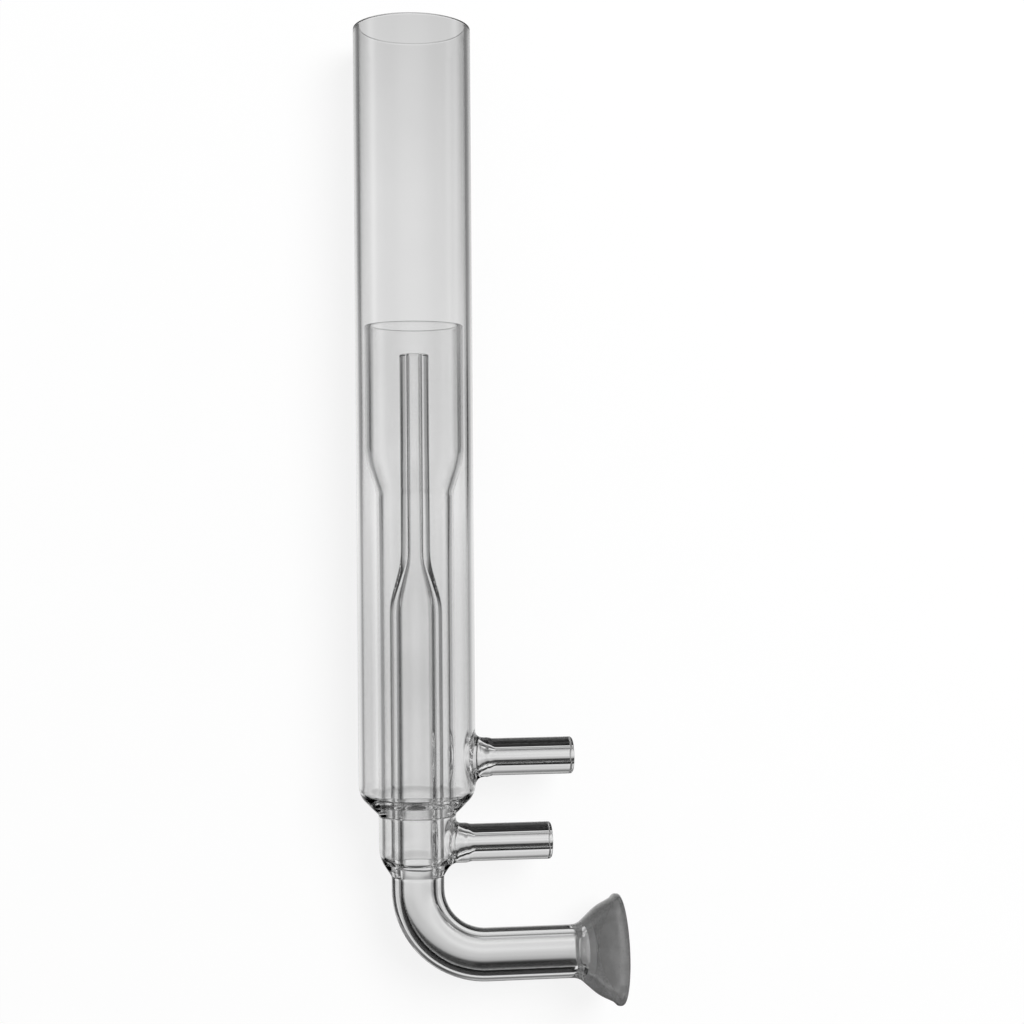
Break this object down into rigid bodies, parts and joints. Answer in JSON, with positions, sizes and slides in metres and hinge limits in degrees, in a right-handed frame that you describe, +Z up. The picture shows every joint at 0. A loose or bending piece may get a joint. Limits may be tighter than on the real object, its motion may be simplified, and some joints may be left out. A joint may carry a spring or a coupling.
{
  "type": "icp torch",
  "caption": "Torch of clear fused quartz for an inductively coupled plasma: nested tubes, a fixed capillary injector, side gas arms and an elbow that ends in a ground socket cup.",
  "frame": {"origin": "centre of the outer tube's mouth, on the torch's axis and in the plane of the rim", "axes": "+Y along the torch's axis and out of the mouth, +X along the gas arms and the elbow's leg, +Z up as the torch lies at rest"},
  "size_m": [0.0451, 0.1681, 0.02],
  "materials": {
    "fused_quartz": "clear and fire-polished, with the socket's seat ground to a fine frost"
  },
  "bodies": {
    "root": {"quartz_torch": "fused_quartz"}
  },
  "joints": []
}
